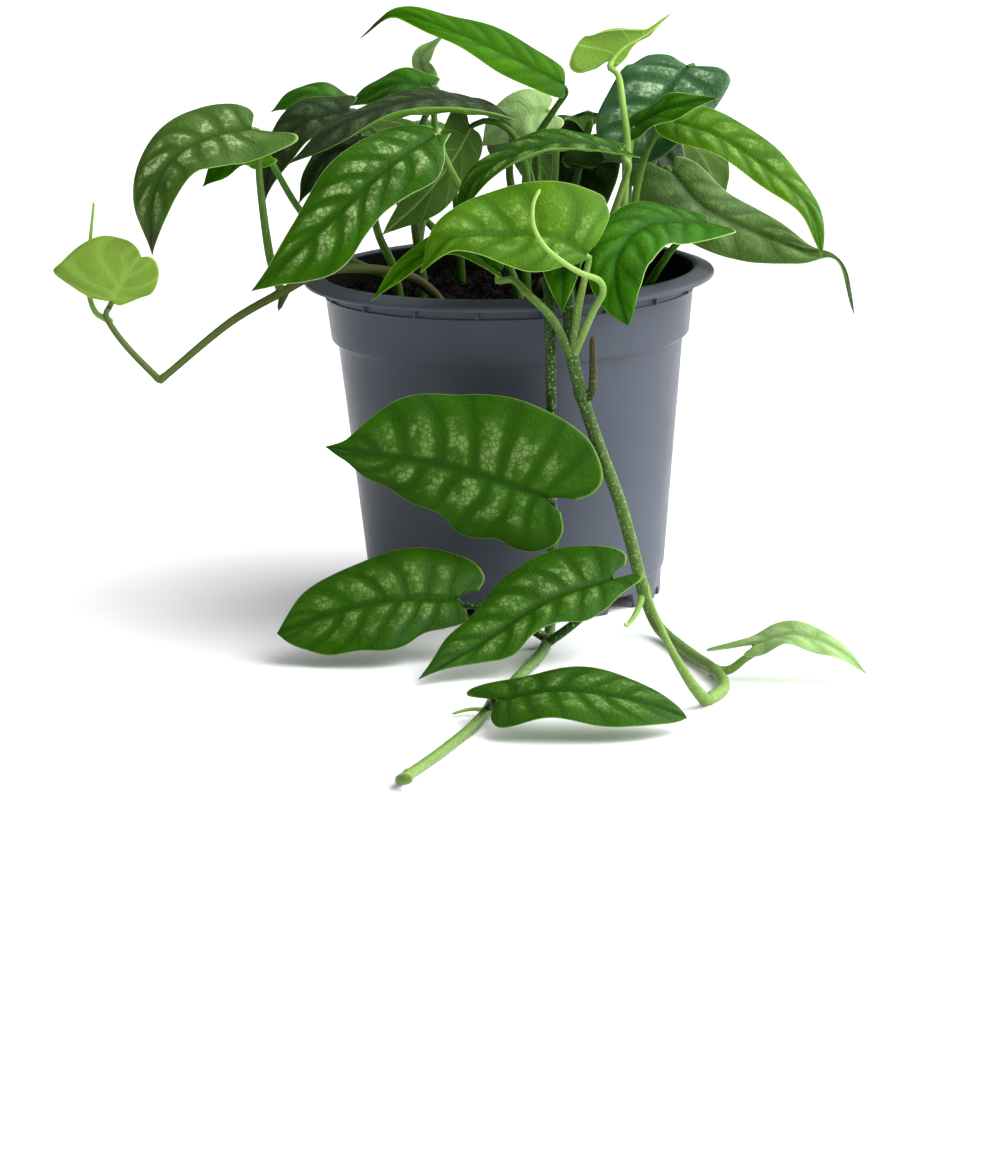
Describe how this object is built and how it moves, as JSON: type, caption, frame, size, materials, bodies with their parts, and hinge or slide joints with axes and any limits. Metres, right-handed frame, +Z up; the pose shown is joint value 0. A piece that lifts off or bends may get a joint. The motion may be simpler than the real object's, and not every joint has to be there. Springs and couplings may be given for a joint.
{
  "type": "potted monstera siltepecana",
  "caption": "Young Monstera siltepecana with silver-patterned leaves on slim stems in a round plastic nursery pot, with trailing vines lying along the surface in front.",
  "frame": {"origin": "under the middle of the part's bounding box, on the surface that the pot stands on", "axes": "+Z up, along the pot's axis; -Y towards the front, where the vines trail; +X to the right seen from the front"},
  "size_m": [0.23, 0.315, 0.1749],
  "materials": {
    "pot_plastic": "satin moulded plastic",
    "potting_soil": "rough, dark peat and bark mix",
    "stem": "satin",
    "leaf_mature": "waxy satin, silvery between the veins",
    "leaf_dark": "waxy satin",
    "leaf_young": "soft satin",
    "leaf_silver": "puckered, silvery satin"
  },
  "bodies": {
    "root": {"leaf_back_centre": "leaf_dark", "leaf_back_left": "leaf_mature", "leaf_back_low": "leaf_dark", "leaf_back_right": "leaf_mature", "leaf_centre_arching": "leaf_dark", "leaf_centre_back": "leaf_dark", "leaf_centre_left": "leaf_dark", "leaf_centre_pale": "leaf_young", "leaf_front_centre": "leaf_mature", "leaf_front_left": "leaf_mature", "leaf_front_narrow": "leaf_mature", "leaf_front_right": "leaf_mature", "leaf_front_tucked": "leaf_mature", "leaf_left_bright": "leaf_mature", "leaf_left_curled": "leaf_young", "leaf_left_hanging": "leaf_dark", "leaf_left_inner": "leaf_dark", "leaf_left_long": "leaf_dark", "leaf_left_lower": "leaf_mature", "leaf_left_outer": "leaf_dark", "leaf_left_small": "leaf_mature", "leaf_left_young": "leaf_young", "leaf_right_arching": "leaf_mature", "leaf_right_inner": "leaf_dark", "leaf_right_low": "leaf_mature", "leaf_right_outer": "leaf_dark", "leaf_right_silver": "leaf_silver", "leaf_right_small": "leaf_mature", "leaf_top_left": "leaf_mature", "leaf_top_young": "leaf_young", "leaf_trail_end": "leaf_mature", "leaf_trail_hanging": "leaf_mature", "leaf_trail_left": "leaf_mature", "leaf_trail_right": "leaf_mature", "leaf_trail_small": "leaf_young", "pot": "pot_plastic", "soil": "potting_soil", "stem_back_centre": "stem", "stem_back_left": "stem", "stem_back_right": "stem", "stem_centre": "stem", "stem_front_centre": "stem", "stem_front_left": "stem", "stem_front_right": "stem", "stem_left": "stem", "stem_left_arching": "stem", "stem_left_outer": "stem", "stem_right_back": "stem", "stem_right_tall": "stem", "stem_trail_left": "stem", "stem_trail_right": "stem"}
  },
  "joints": []
}
